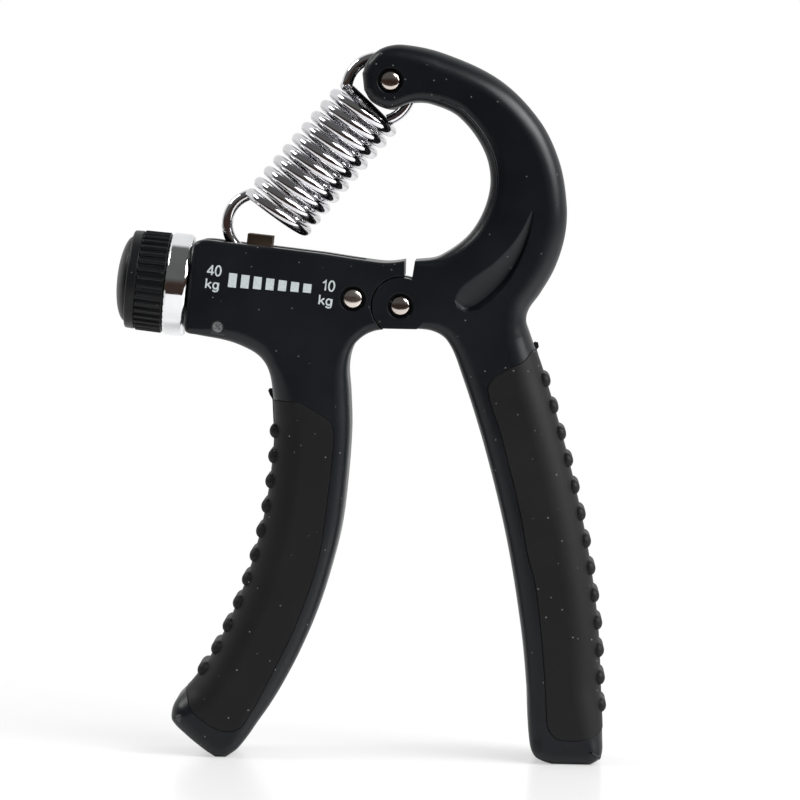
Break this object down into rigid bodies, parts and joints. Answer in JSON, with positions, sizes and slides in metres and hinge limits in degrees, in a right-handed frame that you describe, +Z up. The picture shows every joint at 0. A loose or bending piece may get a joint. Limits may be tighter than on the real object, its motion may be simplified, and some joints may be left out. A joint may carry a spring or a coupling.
{
  "type": "adjustable hand grip strengthener",
  "caption": "A-shaped hand grip with two rubber-padded handles, a C arm, a tension spring and a knob that sets the spring's pull from light to heavy.",
  "frame": {"origin": "middle of the footprint's box on the surface that both handle ends stand on", "axes": "+X from the fixed handle towards the moving handle, +Y across the handles away from the viewer, +Z up"},
  "size_m": [0.0963, 0.0198, 0.1374],
  "materials": {
    "black_shell": "satin black moulding with a fine grain",
    "grip_rubber": "matt charcoal rubber",
    "knob_black": "satin black",
    "ring_chrome": "polished plating",
    "spring_chrome": "polished plating",
    "pin_steel": "polished steel",
    "steel": "plain steel",
    "brass": "turned",
    "carriage_metal": "dark bronze, oiled"
  },
  "bodies": {
    "fixed_handle": {"left_shell_front": "black_shell", "left_shell_rear": "black_shell", "left_grip_pad": "grip_rubber", "left_shell_screws": "steel", "hinge_tongue": "steel", "hinge_bushing": "brass", "hinge_washers": "steel", "anchor_pin": "pin_steel", "screw_bush": "brass", "bush_retaining_pin": "pin_steel", "end_bearing": "brass"},
    "moving_handle": {"right_shell_front": "black_shell", "right_shell_rear": "black_shell", "right_grip_pad": "grip_rubber", "right_shell_screws": "steel", "pivot_pin": "pin_steel"},
    "knob": {"knob_grip": "knob_black", "knob_ring": "ring_chrome", "knob_cap": "knob_black", "knob_screw": "steel", "adjusting_screw": "steel", "thrust_washer": "brass", "retaining_clip": "steel"},
    "carriage": {"carriage": "carriage_metal", "hook_pin": "steel"},
    "tip_pin": {"tip_pin": "pin_steel"},
    "spring": {"spring": "spring_chrome"},
    "spring_hook": {"spring_lower_hook": "spring_chrome"}
  },
  "joints": [
    {"name": "squeeze", "type": "hinge", "parent": "fixed_handle", "child": "moving_handle", "pos_m": [0.0068, 0, 0.0876], "axis": [0, 1, 0], "range_deg": [0, 34], "stiffness_Nm_per_rad": 6, "springref_deg": -11.46},
    {"name": "knob_turn", "type": "hinge", "parent": "fixed_handle", "child": "knob", "pos_m": [-0.0338, 0, 0.0904], "axis": [0.9954, 0, -0.0958], "range_deg": [-2160, 1080]},
    {"name": "carriage_travel", "type": "slide", "parent": "fixed_handle", "child": "carriage", "axis": [0.9954, 0, -0.0958], "range_m": [-0.0046, 0.0091]},
    {"name": "tip_pin_turn", "type": "hinge", "parent": "moving_handle", "child": "tip_pin", "pos_m": [0.0041, 0, 0.13045], "axis": [0, 1, 0], "range_deg": [-11.5, 5.8]},
    {"name": "spring_swing", "type": "hinge", "parent": "tip_pin", "child": "spring", "pos_m": [0.0041, 0, 0.13045], "axis": [0, 1, 0], "range_deg": [-10.12, 0]},
    {"name": "spring_stretch", "type": "slide", "parent": "spring", "child": "spring_hook", "axis": [-0.6253, 0, -0.7804], "range_m": [0, 0.01565], "deforming": ["spring", "spring_lower_hook"]}
  ],
  "couplings": [
    {"joint": "carriage_travel", "follows": "knob_turn", "m_per_rad": -0.00023873},
    {"joint": "tip_pin_turn", "follows": "knob_turn", "ratio": 0.005278},
    {"joint": "spring_swing", "follows": "squeeze", "ratio": -0.29482},
    {"joint": "spring_stretch", "follows": "squeeze", "m_per_rad": 0.026208}
  ]
}
